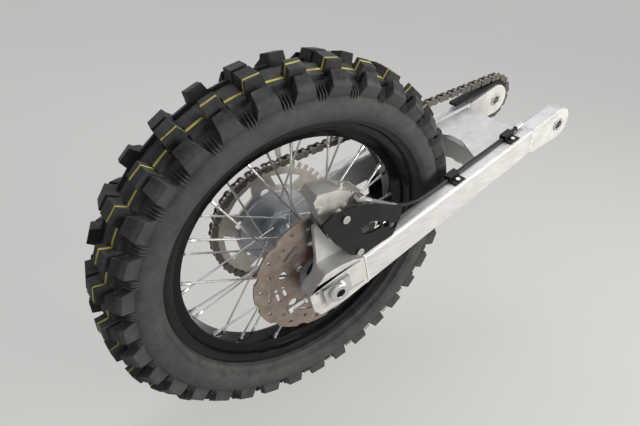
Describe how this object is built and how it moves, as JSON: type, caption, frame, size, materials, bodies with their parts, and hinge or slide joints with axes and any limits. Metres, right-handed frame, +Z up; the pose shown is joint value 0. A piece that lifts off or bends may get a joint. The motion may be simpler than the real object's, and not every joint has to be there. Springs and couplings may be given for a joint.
{
  "type": "motorcycle rear wheel and swingarm",
  "caption": "Off-road motorcycle rear end: aluminium swingarm with knobbed tyre, laced wheel, disc brake, sprocket and chain, held at the arm's pivot.",
  "frame": {"origin": "centre of the swingarm's pivot axis, midway between the two bosses", "axes": "+X forward along the vehicle, +Y to the vehicle's left along the pivot and axle axes, +Z up; the arm runs back and 18 degrees down from the pivot"},
  "size_m": [0.9469, 0.2902, 0.6675],
  "materials": {
    "black_plastic": "matte black moulded plastic",
    "black_rim": "gloss black anodised",
    "brushed_aluminium": "brushed raw aluminium",
    "caliper_finish": "light gold-grey anodised aluminium",
    "cast_aluminium": "blasted cast aluminium",
    "chain_steel": "oiled steel",
    "disc_steel": "heat-tinted ground steel",
    "hose_rubber": "black rubber hose",
    "machined_aluminium": "machined aluminium",
    "pad_steel": "backing steel with friction lining",
    "steel_bright": "bright plated steel",
    "tyre_rubber": "matte black knobbed rubber",
    "zinc_bolts": "zinc-plated steel"
  },
  "bodies": {
    "swingarm": {"adjuster_bolts": "zinc_bolts", "adjuster_nuts": "zinc_bolts", "arm_beam_left": "brushed_aluminium", "arm_beam_right": "brushed_aluminium", "arm_crossmember": "cast_aluminium", "arm_pivot_left": "cast_aluminium", "arm_pivot_right": "cast_aluminium", "axle": "steel_bright", "axle_block_left": "machined_aluminium", "axle_block_right": "machined_aluminium", "axle_end_left": "cast_aluminium", "axle_end_right": "cast_aluminium", "axle_nut": "zinc_bolts", "brake_caliper": "caliper_finish", "brake_hose": "hose_rubber", "brake_pads": "pad_steel", "caliper_bracket": "cast_aluminium", "caliper_guard": "black_plastic", "chain": "chain_steel", "chain_guide": "black_plastic", "chain_slider": "black_plastic", "clip_screws": "zinc_bolts", "collar_left": "machined_aluminium", "collar_right": "machined_aluminium", "guard_posts": "zinc_bolts", "hose_clips": "black_plastic", "hose_fittings": "zinc_bolts", "pivot_sleeves": "steel_bright"},
    "rear_wheel": {"tyre": "tyre_rubber", "rim": "black_rim", "spokes": "steel_bright", "nipples": "steel_bright", "hub": "cast_aluminium", "wheel_bearings_left": "steel_bright", "wheel_bearings_right": "steel_bright", "sprocket": "machined_aluminium", "sprocket_bolts": "zinc_bolts", "brake_disc": "disc_steel", "disc_bolts": "zinc_bolts", "valve": "steel_bright", "rim_lock": "zinc_bolts"}
  },
  "joints": [
    {"name": "wheel_spin", "type": "hinge", "parent": "swingarm", "child": "rear_wheel", "pos_m": [-0.55637, 0, -0.18077], "axis": [0, 1, 0], "continuous": true}
  ]
}
